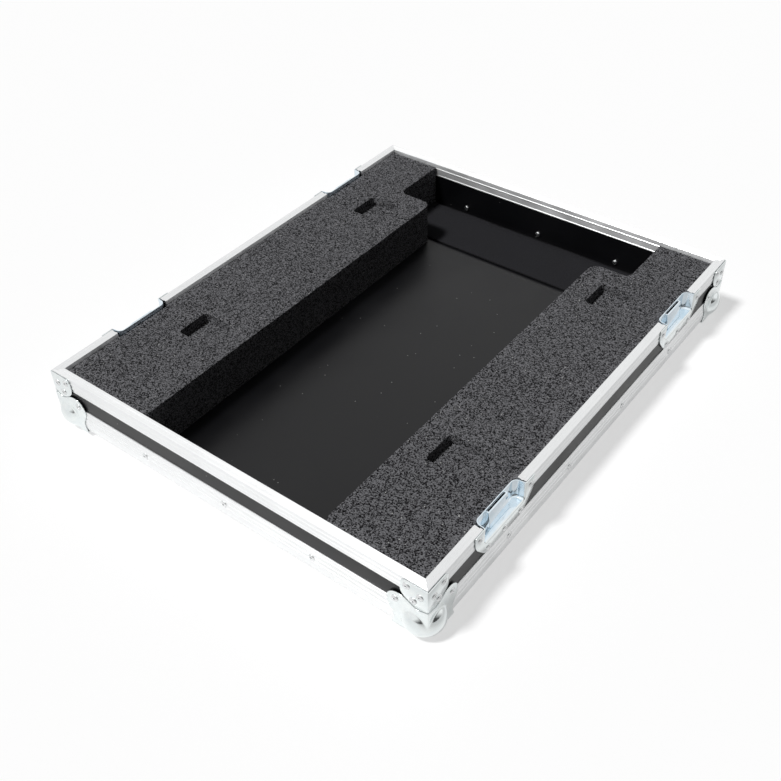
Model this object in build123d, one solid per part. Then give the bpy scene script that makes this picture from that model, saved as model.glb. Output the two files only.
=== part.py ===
"""Bottom tray of a flight case for a compact mixing console.

Five laminated boards make a shallow box. A closing rim covers their top edge, aluminium angle
covers the bottom edges, and pressed braces, ball corners and latch dishes are riveted on.
Two foam blocks inside carry the console's four feet.

Millimetres. The front runs along X and faces -Y, the depth runs along Y, and Z is up.
The origin is the middle of the plan on the ground, under the ball corners.
"""

import os
from math import sqrt

from build123d import *

# The compartment between the wall boards, and the tray's height from rim to edging
INSIDE_WIDTH = 530.0
INSIDE_DEPTH = 654.0
TRAY_HEIGHT = 77.5

# Laminated boards
WALL_BOARD = 9.0
FLOOR_BOARD = 9.0

# Closing rim: an extrusion with a leg down each face of the wall boards
RIM_WALL = 1.0
RIM_LEG = 20.0
RIM_WEB = 3.5
RIM_EDGE_CHAMFER = 0.6
RIM_GROOVE_WIDTH = 4.0
RIM_GROOVE_DEPTH = 0.8
RIM_RIB_DROPS = (7.0, 13.5)
RIM_RIB_WIDTH = 1.8
RIM_RIB_HEIGHT = 0.4
RIM_LIP_HEIGHT = 4.0
RIM_LIP_TAPER = 0.5
RIM_BEAD_DROP = 8.0
RIM_BEAD_WIDTH = 1.8
RIM_BEAD_HEIGHT = 0.5
RIM_FOOT_WIDTH = 2.5
BEAD_CREST_SHARE = 0.4

# Lower edging: equal angle with fine grooves along its upright leg
ANGLE_LEG = 35.0
ANGLE_RADIUS = 4.5
ANGLE_GROOVE_RISES = (15.7, 22.6, 30.2)
ANGLE_GROOVE_WIDTH = 1.4
ANGLE_GROOVE_DEPTH = 0.4

# Upright corner angles between the rim and the edging
CORNER_ANGLE_LEG = 24.0
CORNER_ANGLE_RADIUS = 1.0

# Upper corner braces, which end above the ball corners' ears
BRACE_SHEET = 1.2
BRACE_TOP_DROP = 1.8
BRACE_LENGTH = 33.7
BRACE_EAR_GAP = 3.5
BRACE_LOBE = 24.0
BRACE_BALL_GAP = 1.6
BRACE_RADIUS = 7.0
BRACE_CREASE_RADIUS = 1.6
BRACE_RIVETS = ((26.0, 9.0), (10.0, 15.0), (18.0, 26.0))

# Ball corners: three eared plates pressed in one with a ball, over the case's sawn-off corner
BALL_RADIUS = 24.0
BALL_SHEET = 1.5
BALL_CREASE_RADIUS = 2.4
BALL_CREASE_REACH = 41.0
BALL_WAIST = (12.0, 39.2)
BALL_EAR_SHOULDER = 27.0
BALL_EAR_REACH = 49.0
BALL_EAR_RADIUS = 10.0
BALL_EAR_RIVET = 39.0
BALL_COVER = 2.5

# Latch dishes: the tray's half of a recessed dish that is split at the rim's top
LATCH_INSET = 124.5
DISH_SHEET = 1.2
DISH_LENGTH = 111.5
DISH_DROP = 40.5
DISH_SIDE_DROP = 17.0
DISH_FOOT_LENGTH = 72.0
DISH_RADIUS = 8.0
PAN_LENGTH = 80.0
PAN_DROP = 27.5
PAN_DEPTH = 13.5
PAN_BACK_LENGTH = 57.0
PAN_BEND_RADIUS = 8.0
DISH_SIDE_RIVET = (48.0, 9.0)
DISH_FOOT_RIVETS = 3
DISH_FOOT_RIVET_PITCH = 31.0
DISH_FOOT_RIVET_DROP = 34.0

# Keepers: a cranked plate standing in each dish, with a slot behind it
KEEPER_WIDTH = 35.0
KEEPER_SHEET = 2.0
KEEPER_SLOT = 2.8
KEEPER_TOP_DROP = 1.0
KEEPER_LIP_DROP = 6.0
KEEPER_LIP_OUT = 1.0
KEEPER_FOOT = 1.6
KEEPER_BEND_RADIUS = 3.0

# Foam blocks
FOAM_TOP_DROP = 5.5
LEFT_BLOCK_WIDTH = 136.5
RIGHT_BLOCK_WIDTH = 130.0
LEFT_NOTCH_WIDTH = 81.5
RIGHT_NOTCH_WIDTH = 77.0
NOTCH_LENGTH = 91.5
FOAM_NOSE_RADIUS = 14.0
FOAM_NOTCH_RADIUS = 10.0
FOAM_END_RADIUS = 12.0
POCKET_SIDE = 48.0
POCKET_DEPTH = 14.0
LEFT_POCKET_INSET = 79.5
RIGHT_POCKET_INSET = 73.5
FRONT_POCKET_INSET = 159.0
REAR_POCKET_INSET = 148.0
RELIEF_LENGTH = 66.0
RELIEF_UNDER = 3.0

# Mat on the floor of the rear bay
MAT_THICKNESS = 3.5
MAT_END_GAP = 7.0

# Blind rivets, of which the set heads are modelled, eight-sided to keep the many small pieces light
RIVET_SIDES = 8
RIVET_HEAD_RADIUS = 4.4
RIVET_HEAD_HEIGHT = 1.2
EDGE_RIVET_PITCH = 126.5
EDGE_RIVET_RISE = 20.0
FRONT_EDGE_RIVETS = 3
SIDE_EDGE_RIVETS = 4

# Clearances
SOFT_CLEARANCE = 0.3
DISH_CLEARANCE = 0.5
BALL_CLEARANCE = 0.3
RIB_CLEARANCE = 0.1

# Planes that the pieces share, as distances from the middle of the plan
inside_x = INSIDE_WIDTH / 2
inside_y = INSIDE_DEPTH / 2
board_x = inside_x + WALL_BOARD
board_y = inside_y + WALL_BOARD
rim_out_x = board_x + RIM_WALL

# The edging is as thick as the rim's leg and ribs, so that the pressed plates lie flat on both
edging_wall = RIM_WALL + RIM_RIB_HEIGHT + RIB_CLEARANCE
plate_x = board_x + edging_wall
plate_y = board_y + edging_wall

# The ball touches the creases' sharp lines, so it stands out below the edging
ball_inset = BALL_RADIUS / sqrt(2) - BALL_SHEET
edging_low = BALL_RADIUS - ball_inset
floor_low = edging_low + edging_wall
floor_top = floor_low + FLOOR_BOARD
rim_top = edging_low + TRAY_HEIGHT
rim_foot = rim_top - RIM_LEG
wall_top = rim_top - RIM_WEB
angle_top = edging_low + ANGLE_LEG
edge_rivet_z = edging_low + EDGE_RIVET_RISE
foam_low = floor_top + SOFT_CLEARANCE
foam_top = rim_top - FOAM_TOP_DROP
foam_inset = RIM_WALL + RIM_BEAD_HEIGHT + SOFT_CLEARANCE
foam_x = inside_x - foam_inset
foam_y = inside_y - foam_inset
ball_low = edging_low - BALL_SHEET
notch_half = PAN_LENGTH / 2 + DISH_CLEARANCE
pan_back_x = plate_x - PAN_DEPTH
latch_y = inside_y - LATCH_INSET
notch_step_y = inside_y - NOTCH_LENGTH
front_pocket_y = FRONT_POCKET_INSET - inside_y
rear_pocket_y = inside_y - REAR_POCKET_INSET

SIDES = (-1, 1)


def block(low, high):
    """A box between two opposite corners."""
    size = [b - a for a, b in zip(low, high)]
    middle = [(a + b) / 2 for a, b in zip(low, high)]
    return Pos(*middle) * Box(*size)


def outline(*points):
    """A face inside straight edges through the points."""
    return make_face(Polyline(*points, close=True))


def corner_of(face, point):
    """The corner of a face nearest to a point."""
    return face.vertices().sort_by_distance(Vector(*point))[0]


def to_corner(shape, side_x, side_y):
    """Mirror what was made at the right rear corner to another corner."""
    if side_x < 0:
        shape = mirror(shape, about=Plane.YZ)
    if side_y < 0:
        shape = mirror(shape, about=Plane.XZ)
    return shape


def four_corners(shape):
    """What was made at the right rear corner, at all four corners."""
    return [to_corner(shape, side_x, side_y) for side_x in SIDES for side_y in SIDES]


# Strips along the edges


def front_strip(section, half_width, half_depth):
    """Extrude a section along the front and mitre it on the lines through the plan's corners.

    The section's first axis runs outward from the middle of the plan, its second is height.
    """
    reach = ANGLE_LEG + WALL_BOARD
    far = half_width + reach
    near = half_width - reach
    along_front = Plane(origin=(0, 0, 0), x_dir=(0, -1, 0), z_dir=(-1, 0, 0))
    strip = extrude(along_front * section, amount=far, both=True)
    inner_y = reach - half_depth
    outer_y = -reach - half_depth
    wedge = outline((-near, inner_y), (near, inner_y), (far, outer_y), (-far, outer_y))
    return strip & extrude(wedge, amount=2 * rim_top)


def strips(section_at):
    """The four mitred strips of a section, which is drawn for the distance of a wall board's inner face."""
    along_width = front_strip(section_at(inside_y), inside_x, inside_y)
    along_depth = front_strip(section_at(inside_x), inside_y, inside_x)
    return {
        "front": along_width,
        "back": Rot(0, 0, 180) * along_width,
        "left": Rot(0, 0, -90) * along_depth,
        "right": Rot(0, 0, 90) * along_depth,
    }


def bead(at_u, outward, drop, width, height):
    """The section of a low line along an extrusion, with sloped sides and a narrow crest."""
    middle = rim_top - drop
    half_foot = width / 2
    half_crest = half_foot * BEAD_CREST_SHARE
    crest = at_u + outward * height
    return outline(
        (at_u, middle - half_foot),
        (crest, middle - half_crest),
        (crest, middle + half_crest),
        (at_u, middle + half_foot),
    )


def rim_section(inner_board_face):
    """The closing rim: web, two legs, groove, outer ribs with a tapered lip, inner bead and foot."""
    low_u = inner_board_face - RIM_WALL
    high_u = inner_board_face + WALL_BOARD + RIM_WALL
    whole = outline((low_u, rim_foot), (high_u, rim_foot), (high_u, rim_top), (low_u, rim_top))
    upper = [corner_of(whole, (low_u, rim_top)), corner_of(whole, (high_u, rim_top))]
    section = chamfer(upper, RIM_EDGE_CHAMFER)
    channel_high = inner_board_face + WALL_BOARD
    section -= outline(
        (inner_board_face, rim_foot),
        (channel_high, rim_foot),
        (channel_high, wall_top),
        (inner_board_face, wall_top),
    )
    middle_u = (low_u + high_u) / 2
    half_groove = RIM_GROOVE_WIDTH / 2
    groove_low = rim_top - RIM_GROOVE_DEPTH
    section -= outline(
        (middle_u - half_groove, rim_top),
        (middle_u - half_groove + RIM_GROOVE_DEPTH, groove_low),
        (middle_u + half_groove - RIM_GROOVE_DEPTH, groove_low),
        (middle_u + half_groove, rim_top),
    )
    section -= outline(
        (high_u, rim_foot),
        (high_u, rim_foot + RIM_LIP_HEIGHT),
        (high_u - RIM_LIP_TAPER, rim_foot),
    )
    for drop in RIM_RIB_DROPS:
        section += bead(high_u, 1, drop, RIM_RIB_WIDTH, RIM_RIB_HEIGHT)
    section += bead(low_u, -1, RIM_BEAD_DROP, RIM_BEAD_WIDTH, RIM_BEAD_HEIGHT)
    foot_drop = RIM_LEG - RIM_FOOT_WIDTH / 2
    section += bead(low_u, -1, foot_drop, RIM_FOOT_WIDTH, RIM_BEAD_HEIGHT)
    return section


def angle_section(inner_board_face):
    """The lower edging: an angle with a rounded edge and fine grooves on its upright leg."""
    high_u = inner_board_face + WALL_BOARD + edging_wall
    low_u = high_u - ANGLE_LEG
    inner_u = high_u - edging_wall
    shape = outline(
        (low_u, edging_low),
        (high_u, edging_low),
        (high_u, angle_top),
        (inner_u, angle_top),
        (inner_u, floor_low),
        (low_u, floor_low),
    )
    shape = fillet(corner_of(shape, (high_u, edging_low)), ANGLE_RADIUS)
    shape = fillet(corner_of(shape, (inner_u, floor_low)), ANGLE_RADIUS - edging_wall)
    for rise in ANGLE_GROOVE_RISES:
        middle = edging_low + rise
        shape -= outline(
            (high_u, middle - ANGLE_GROOVE_WIDTH / 2),
            (high_u, middle + ANGLE_GROOVE_WIDTH / 2),
            (high_u - ANGLE_GROOVE_DEPTH, middle),
        )
    return shape


# Ball corners


def ball_centre():
    """The middle of the right rear corner's ball."""
    return Pos(plate_x - ball_inset, plate_y - ball_inset, edging_low + ball_inset)


def corner_octant():
    """The cube from the ball's middle out past the case's right rear bottom corner."""
    return ball_centre() * Box(*[BALL_RADIUS] * 3, align=(Align.MIN, Align.MIN, Align.MAX))


def corner_waste(cover):
    """The case's corner beyond a flat saw cut, which leaves room for so much of the ball's metal."""
    from_middle = (BALL_RADIUS - cover) / sqrt(3)
    origin = ball_centre() * Pos(from_middle, from_middle, -from_middle)
    cut = Plane(origin=origin.position, z_dir=(1, 1, -1))
    return extrude(cut * Circle(BALL_RADIUS), amount=BALL_RADIUS)


def ball_face():
    """The outline of one eared face, from the crease's corner along both of its creases."""
    waist_p, waist_q = BALL_WAIST
    face = outline(
        (0, 0),
        (0, BALL_CREASE_REACH),
        (waist_p, waist_q),
        (BALL_EAR_SHOULDER, BALL_EAR_REACH),
        (BALL_EAR_REACH, BALL_EAR_REACH),
        (BALL_EAR_REACH, BALL_EAR_SHOULDER),
        (waist_q, waist_p),
        (BALL_CREASE_REACH, 0),
    )
    rounded = [
        (BALL_EAR_REACH, BALL_EAR_REACH),
        (BALL_EAR_SHOULDER, BALL_EAR_REACH),
        (BALL_EAR_REACH, BALL_EAR_SHOULDER),
    ]
    return fillet([corner_of(face, point) for point in rounded], BALL_EAR_RADIUS)


def ball_corner():
    """The right rear ball corner, alike on its three faces and solid inside the ball."""
    vertex = (plate_x + BALL_SHEET, plate_y + BALL_SHEET, ball_low)
    on_side = Plane(origin=vertex, x_dir=(0, -1, 0), z_dir=(-1, 0, 0))
    side = extrude(on_side * ball_face(), amount=BALL_SHEET)
    rear = mirror(side, about=Plane(origin=vertex, z_dir=(1, -1, 0)))
    under = mirror(side, about=Plane(origin=vertex, z_dir=(1, 0, 1)))
    hull = block((0, 0, ball_low), (vertex[0], vertex[1], rim_top))
    creases = hull.edges().sort_by_distance(Vector(*vertex))[:3]
    plates = (side + rear + under) & fillet(creases, BALL_CREASE_RADIUS)
    case = block((0, 0, edging_low), (plate_x, plate_y, rim_top)) - corner_waste(BALL_COVER)
    return (plates - corner_octant()) + ball_centre() * Sphere(BALL_RADIUS) - case


# Boards


def floor_board():
    """The floor lies under the walls, its lower edges eased to sit in the edging."""
    board = block((-board_x, -board_y, floor_low), (board_x, board_y, floor_top))
    lower = board.faces().sort_by(Axis.Z)[0].edges()
    board = chamfer(lower, ANGLE_RADIUS - edging_wall)
    return board - four_corners(corner_waste(BALL_COVER + BALL_CLEARANCE))


def dish_notches(side):
    """The sawn notches through a side wall, one for each latch dish."""
    bottom = rim_top - PAN_DROP - DISH_CLEARANCE
    notches = []
    for side_y in SIDES:
        middle = side_y * latch_y
        low_x, high_x = sorted((side * inside_x, side * board_x))
        notches.append(block((low_x, middle - notch_half, bottom), (high_x, middle + notch_half, rim_top)))
    return notches


def wall_boards():
    """Front and back walls run the full width, and the side walls stand between them."""
    front = block((-board_x, -board_y, floor_top), (board_x, -inside_y, wall_top))
    left = block((-board_x, -inside_y, floor_top), (-inside_x, inside_y, wall_top))
    waste = four_corners(corner_waste(BALL_COVER + BALL_CLEARANCE))
    return {
        "front": front - waste,
        "back": mirror(front, about=Plane.XZ) - waste,
        "left": left - dish_notches(-1),
        "right": mirror(left, about=Plane.YZ) - dish_notches(1),
    }


# Hardware


def corner_angle():
    """The upright angle on the right rear corner, from the edging's top to the rim's foot."""
    near = (plate_x - CORNER_ANGLE_LEG, plate_y - CORNER_ANGLE_LEG, angle_top)
    angle = block(near, (plate_x, plate_y, rim_foot)) - block(near, (board_x, board_y, rim_foot))
    bend = max(angle.edges().filter_by(Axis.Z), key=lambda edge: edge.center().X + edge.center().Y)
    return fillet(bend, CORNER_ANGLE_RADIUS)


def corner_brace():
    """The brace over the rim's right rear mitre: one pressed sheet with a leg on each side."""
    fold = (plate_x + BRACE_SHEET, plate_y + BRACE_SHEET, ball_low)
    top = rim_top - BRACE_TOP_DROP - ball_low
    end = BALL_EAR_REACH + BRACE_EAR_GAP
    face = outline(
        (0, 0),
        (BRACE_LOBE, 0),
        (BRACE_LOBE, end),
        (BRACE_LENGTH, end),
        (BRACE_LENGTH, top),
        (0, top),
    )
    face -= offset(Pos(BRACE_SHEET - BALL_SHEET, 0) * ball_face(), amount=BRACE_BALL_GAP)
    ends = [corner_of(face, (BRACE_LENGTH, top)), corner_of(face, (BRACE_LENGTH, end))]
    face = fillet(ends, BRACE_RADIUS)
    on_side = Plane(origin=fold, x_dir=(0, -1, 0), z_dir=(-1, 0, 0))
    side = extrude(on_side * face, amount=BRACE_SHEET)
    rear = mirror(side, about=Plane(origin=fold, z_dir=(1, -1, 0)))
    brace = side + rear
    crease = max(brace.edges().filter_by(Axis.Z), key=lambda edge: edge.center().X + edge.center().Y)
    return fillet(crease, BRACE_CREASE_RADIUS)


def pan_solid(front_depth, skin, low, high):
    """The pan's plan inside a skin, from a depth behind the plates' plane back, raised to a height."""
    end_slope = (PAN_LENGTH - PAN_BACK_LENGTH) / 2 / PAN_DEPTH
    back_depth = PAN_DEPTH - skin

    def half_length(depth):
        return PAN_LENGTH / 2 - end_slope * depth - skin * sqrt(1 + end_slope**2)

    front_x = plate_x - front_depth
    back_x = plate_x - back_depth
    plan = outline(
        (front_x, -half_length(front_depth)),
        (front_x, half_length(front_depth)),
        (back_x, half_length(back_depth)),
        (back_x, -half_length(back_depth)),
    )
    bends = [corner_of(plan, (back_x, side * half_length(back_depth))) for side in SIDES]
    plan = fillet(bends, PAN_BEND_RADIUS - skin)
    return extrude(Pos(0, latch_y, low) * plan, amount=high - low)


def latch_dish():
    """The right rear dish: a flange on the plates' plane and a pan sunk through the wall."""
    half = DISH_LENGTH / 2
    foot = DISH_FOOT_LENGTH / 2
    face = outline(
        (-half, 0),
        (half, 0),
        (half, -DISH_SIDE_DROP),
        (foot, -DISH_DROP),
        (-foot, -DISH_DROP),
        (-half, -DISH_SIDE_DROP),
    )
    lower = [corner_of(face, (side * half, -DISH_SIDE_DROP)) for side in SIDES]
    lower += [corner_of(face, (side * foot, -DISH_DROP)) for side in SIDES]
    face = fillet(lower, DISH_RADIUS)
    facing = Plane(
        origin=(plate_x + DISH_SHEET, latch_y, rim_top), x_dir=(0, -1, 0), z_dir=(-1, 0, 0)
    )
    flange = extrude(facing * face, amount=DISH_SHEET)
    pan_low = rim_top - PAN_DROP
    pan = pan_solid(0, 0, pan_low, rim_top)
    hollow = pan_solid(-DISH_SHEET, DISH_SHEET, pan_low + DISH_SHEET, rim_top)
    return flange + pan - hollow


def latch_keeper():
    """The right rear keeper: a bent plate on the pan's floor that leaves a slot behind it."""
    foot = DISH_SHEET - PAN_DROP
    near = KEEPER_SLOT
    far = KEEPER_SLOT + KEEPER_SHEET
    profile = outline(
        (near - KEEPER_FOOT, foot + KEEPER_SHEET),
        (near, foot + KEEPER_SHEET),
        (near, -KEEPER_LIP_DROP),
        (near + KEEPER_LIP_OUT, -KEEPER_TOP_DROP),
        (far + KEEPER_LIP_OUT, -KEEPER_TOP_DROP),
        (far, -KEEPER_LIP_DROP),
        (far, foot),
        (near - KEEPER_FOOT, foot),
    )
    profile = fillet(corner_of(profile, (far, foot)), KEEPER_BEND_RADIUS)
    across = Plane(
        origin=(pan_back_x + DISH_SHEET, latch_y, rim_top), x_dir=(1, 0, 0), z_dir=(0, -1, 0)
    )
    return extrude(across * profile, amount=KEEPER_WIDTH / 2, both=True)


# Soft pieces


def foam_block(side, block_width, notch_width, pocket_inset):
    """A block along one side, with the rear notch, two foot pockets and a relief behind each pan."""
    inner_edge = inside_x - block_width
    notch_edge = inside_x - notch_width
    plan = outline(
        (side * foam_x, -foam_y),
        (side * inner_edge, -foam_y),
        (side * inner_edge, notch_step_y),
        (side * notch_edge, notch_step_y),
        (side * notch_edge, foam_y),
        (side * foam_x, foam_y),
    )
    plan = fillet(corner_of(plan, (side * inner_edge, -foam_y)), FOAM_END_RADIUS)
    plan = fillet(corner_of(plan, (side * inner_edge, notch_step_y)), FOAM_NOSE_RADIUS)
    plan = fillet(corner_of(plan, (side * notch_edge, notch_step_y)), FOAM_NOTCH_RADIUS)
    foam = extrude(Pos(0, 0, foam_low) * plan, amount=foam_top - foam_low)
    pocket = Rectangle(POCKET_SIDE, POCKET_SIDE)
    pocket_x = inside_x - pocket_inset
    for pocket_y in (front_pocket_y, rear_pocket_y):
        place = Pos(side * pocket_x, pocket_y, foam_top - POCKET_DEPTH)
        foam -= extrude(place * pocket, amount=POCKET_DEPTH)
    relief_x = pan_back_x - SOFT_CLEARANCE
    relief_low = rim_top - PAN_DROP - RELIEF_UNDER
    for side_y in SIDES:
        place = Pos(side * relief_x, side_y * latch_y, relief_low)
        size = (foam_x, RELIEF_LENGTH, foam_top - relief_low)
        edge = Align.MIN if side > 0 else Align.MAX
        foam -= place * Box(*size, align=(edge, Align.CENTER, Align.MIN))
    return foam


def bay_mat():
    """The thin mat between the two notches, a little short of the back wall."""
    low_x = LEFT_NOTCH_WIDTH - inside_x + SOFT_CLEARANCE
    high_x = inside_x - RIGHT_NOTCH_WIDTH - SOFT_CLEARANCE
    low = (low_x, notch_step_y + SOFT_CLEARANCE, foam_low)
    high = (high_x, inside_y - MAT_END_GAP, foam_low + MAT_THICKNESS)
    mat = block(low, high)
    front_corners = mat.edges().filter_by(Axis.Z).group_by(Axis.Y)[0]
    return fillet(front_corners, FOAM_NOTCH_RADIUS - SOFT_CLEARANCE)


# Rivets


def rivet(point, outward):
    """A blind rivet's head, seated at a point on a sheet that faces outward."""
    seat = Plane(origin=point, z_dir=outward)
    return extrude(seat * RegularPolygon(RIVET_HEAD_RADIUS, RIVET_SIDES), amount=RIVET_HEAD_HEIGHT)


def spread(count, pitch):
    """Places at a pitch, spread about the middle."""
    return [(index - (count - 1) / 2) * pitch for index in range(count)]


def edge_rivets(side_name):
    """The row through the edging's upright leg on one side."""
    if side_name in ("front", "back"):
        way = 1 if side_name == "back" else -1
        row = spread(FRONT_EDGE_RIVETS, EDGE_RIVET_PITCH)
        return [rivet((x, way * plate_y, edge_rivet_z), (0, way, 0)) for x in row]
    way = 1 if side_name == "right" else -1
    row = spread(SIDE_EDGE_RIVETS, EDGE_RIVET_PITCH)
    return [rivet((way * plate_x, y, edge_rivet_z), (way, 0, 0)) for y in row]


def floor_rivets():
    """The rows through the edging's lower leg, under the floor."""
    heads = []
    for way in SIDES:
        for x in spread(FRONT_EDGE_RIVETS, EDGE_RIVET_PITCH):
            heads.append(rivet((x, way * (plate_y - EDGE_RIVET_RISE), edging_low), (0, 0, -1)))
        for y in spread(SIDE_EDGE_RIVETS, EDGE_RIVET_PITCH):
            heads.append(rivet((way * (plate_x - EDGE_RIVET_RISE), y, edging_low), (0, 0, -1)))
    return heads


def corner_rivets():
    """The right rear brace's six rivets and the ball corner's three."""
    heads = []
    for inset, drop in BRACE_RIVETS:
        z = rim_top - drop
        sheet_x = plate_x + BRACE_SHEET
        sheet_y = plate_y + BRACE_SHEET
        heads.append(rivet((sheet_x, sheet_y - inset, z), (1, 0, 0)))
        heads.append(rivet((sheet_x - inset, sheet_y, z), (0, 1, 0)))
    face_x = plate_x + BALL_SHEET
    face_y = plate_y + BALL_SHEET
    in_x = face_x - BALL_EAR_RIVET
    in_y = face_y - BALL_EAR_RIVET
    in_z = ball_low + BALL_EAR_RIVET
    heads.append(rivet((face_x, in_y, in_z), (1, 0, 0)))
    heads.append(rivet((in_x, face_y, in_z), (0, 1, 0)))
    heads.append(rivet((in_x, in_y, ball_low), (0, 0, -1)))
    return heads


def latch_rivets():
    """The right rear dish's five rivets."""
    sheet_x = plate_x + DISH_SHEET
    side_offset, side_drop = DISH_SIDE_RIVET
    heads = []
    for offset in (-side_offset, side_offset):
        heads.append(rivet((sheet_x, latch_y + offset, rim_top - side_drop), (1, 0, 0)))
    for offset in spread(DISH_FOOT_RIVETS, DISH_FOOT_RIVET_PITCH):
        point = (sheet_x, latch_y + offset, rim_top - DISH_FOOT_RIVET_DROP)
        heads.append(rivet(point, (1, 0, 0)))
    return heads


def rim_pieces(name, strip):
    """A side's rim in three lengths, with a gap of the notch's length for each dish."""
    far = rim_out_x + RIM_WALL
    for side_y in SIDES:
        middle = side_y * latch_y
        strip -= block((-far, middle - notch_half, 0), (far, middle + notch_half, rim_top))
    lengths = strip.solids().sort_by(Axis.Y)
    return {
        f"rim_{name}_front": lengths[0],
        f"rim_{name}_middle": lengths[1],
        f"rim_{name}_rear": lengths[2],
    }


def write(name, shape):
    """Write one piece under its name."""
    shape.label = name
    export_step(shape, f"parts/{name}.step")


def main():
    """Make every piece and write each to a file of its own."""
    os.makedirs("parts", exist_ok=True)
    pieces = {"floor_board": floor_board()}
    for name, wall in wall_boards().items():
        pieces[f"wall_{name}"] = wall
    waste = four_corners(corner_waste(BALL_COVER + BALL_CLEARANCE))
    for name, strip in strips(angle_section).items():
        pieces[f"lower_angle_{name}"] = strip - waste
        pieces[f"edge_rivets_{name}"] = Compound(edge_rivets(name))
    rims = strips(rim_section)
    pieces["rim_front"] = rims["front"]
    pieces["rim_back"] = rims["back"]
    pieces.update(rim_pieces("left", rims["left"]))
    pieces.update(rim_pieces("right", rims["right"]))
    pieces["foam_block_left"] = foam_block(
        -1, LEFT_BLOCK_WIDTH, LEFT_NOTCH_WIDTH, LEFT_POCKET_INSET
    )
    pieces["foam_block_right"] = foam_block(
        1, RIGHT_BLOCK_WIDTH, RIGHT_NOTCH_WIDTH, RIGHT_POCKET_INSET
    )
    pieces["bay_mat"] = bay_mat()
    pieces["floor_rivets"] = Compound(floor_rivets())
    at_each_corner = {
        "corner_angle": corner_angle(),
        "corner_brace": corner_brace(),
        "ball_corner": ball_corner(),
        "latch_dish": latch_dish(),
        "latch_keeper": latch_keeper(),
        "corner_rivets": Compound(corner_rivets()),
        "latch_rivets": Compound(latch_rivets()),
    }
    for side_x, across in ((-1, "left"), (1, "right")):
        for side_y, along in ((-1, "front"), (1, "rear")):
            for name, shape in at_each_corner.items():
                pieces[f"{name}_{along}_{across}"] = to_corner(shape, side_x, side_y)
    for name, shape in pieces.items():
        write(name, shape)


main()
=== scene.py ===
"""Bottom tray of a flight case for a compact mixing console, dressed for a photograph.

The sections follow the tray as it is built: boards, edging, rim, pressed hardware, rivets, foam
and mat, and then the studio round it. The tray's lengths are written in millimetres and turned to
metres, and the studio's are in metres.
"""

from math import pi, radians, sqrt

import bmesh
import bpy
from mathutils import Matrix, Vector, noise


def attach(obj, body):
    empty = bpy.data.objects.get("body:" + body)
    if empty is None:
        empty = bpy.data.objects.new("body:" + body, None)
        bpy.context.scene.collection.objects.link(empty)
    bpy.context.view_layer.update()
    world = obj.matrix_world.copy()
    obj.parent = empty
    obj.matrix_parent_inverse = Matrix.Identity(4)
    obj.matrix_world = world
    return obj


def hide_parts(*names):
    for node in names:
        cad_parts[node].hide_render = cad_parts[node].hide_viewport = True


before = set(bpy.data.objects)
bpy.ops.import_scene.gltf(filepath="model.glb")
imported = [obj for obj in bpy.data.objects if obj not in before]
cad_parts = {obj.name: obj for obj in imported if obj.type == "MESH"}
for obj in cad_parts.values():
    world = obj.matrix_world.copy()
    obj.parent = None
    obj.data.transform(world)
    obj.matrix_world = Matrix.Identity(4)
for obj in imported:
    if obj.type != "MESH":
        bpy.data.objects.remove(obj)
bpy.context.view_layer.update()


# Boards

# Five boards of 9 mm birch plywood, faced with black phenolic film that leaves the press with a
# fine pebble grain. They are sawn to size, housed in the edging and the rim, and riveted.

MM = 0.001


def linear(code):
    """Turn an sRGB hex colour to the linear values that a shader takes."""
    parts = [int(code[at : at + 2], 16) / 255 for at in (0, 2, 4)]
    return [part / 12.92 if part <= 0.04045 else ((part + 0.055) / 1.055) ** 2.4 for part in parts] + [1]


def add(tree, kind, settings=None, links=None):
    """Add a node to a material, with its settings and what feeds its sockets.

    A socket goes by its name, or by its number where names repeat: a Mix node's two colours are
    its sockets 6 and 7, and its mixed colour comes out at 2.
    """
    made = tree.nodes.new(kind)
    for key, value in (settings or {}).items():
        if isinstance(key, str) and key in made.bl_rna.properties:
            setattr(made, key, value)
        else:
            made.inputs[key].default_value = value
    for key, source in (links or {}).items():
        tree.links.new(source, made.inputs[key])
    return made


def new_finish(name):
    """Start an empty material and give back its node tree and Object coordinates with it."""
    finish = bpy.data.materials.new(name)
    finish.use_nodes = True
    tree = finish.node_tree
    tree.nodes.clear()
    return finish, tree, add(tree, "ShaderNodeTexCoord").outputs["Object"]


def dressed(name, finish):
    """Give a solid of the frame its finish."""
    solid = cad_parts[name]
    solid.data.materials.clear()
    solid.data.materials.append(finish)
    return solid


# Phenolic film on plywood: near black, semi-gloss, with handling clouds and a little dust. Its
# pebble is about half a millimetre across and is drawn twice as coarse, so that it shows.
FILM_PEBBLE = 1.1
FILM_CLOUD = 70
FILM_DUST = 17
film, tree, place = new_finish("phenolic film on birch plywood, pebbled")
pebble = add(tree, "ShaderNodeTexNoise", {"Scale": 1 / (FILM_PEBBLE * MM), "Detail": 2.0}, {"Vector": place})
cloud = add(tree, "ShaderNodeTexNoise", {"Scale": 1 / (FILM_CLOUD * MM), "Detail": 5.0}, {"Vector": place})
tone = add(
    tree,
    "ShaderNodeMix",
    {"data_type": "RGBA", 6: linear("060608"), 7: linear("0B0B0D")},
    {0: cloud.outputs["Fac"]},
)
gloss = add(
    tree,
    "ShaderNodeMapRange",
    {"From Min": 0.3, "From Max": 0.7, "To Min": 0.30, "To Max": 0.40},
    {"Value": cloud.outputs["Fac"]},
)
specks = add(tree, "ShaderNodeTexVoronoi", {"Scale": 1 / (FILM_DUST * MM)}, {"Vector": place})
lying = add(
    tree,
    "ShaderNodeMapRange",
    {"From Min": 0.02, "From Max": 0.045, "To Min": 0.7, "To Max": 0.0},
    {"Value": specks.outputs["Distance"]},
)
dusty = add(
    tree,
    "ShaderNodeMix",
    {"data_type": "RGBA", 7: linear("A8A8A6")},
    {0: lying.outputs[0], 6: tone.outputs[2]},
)
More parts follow.
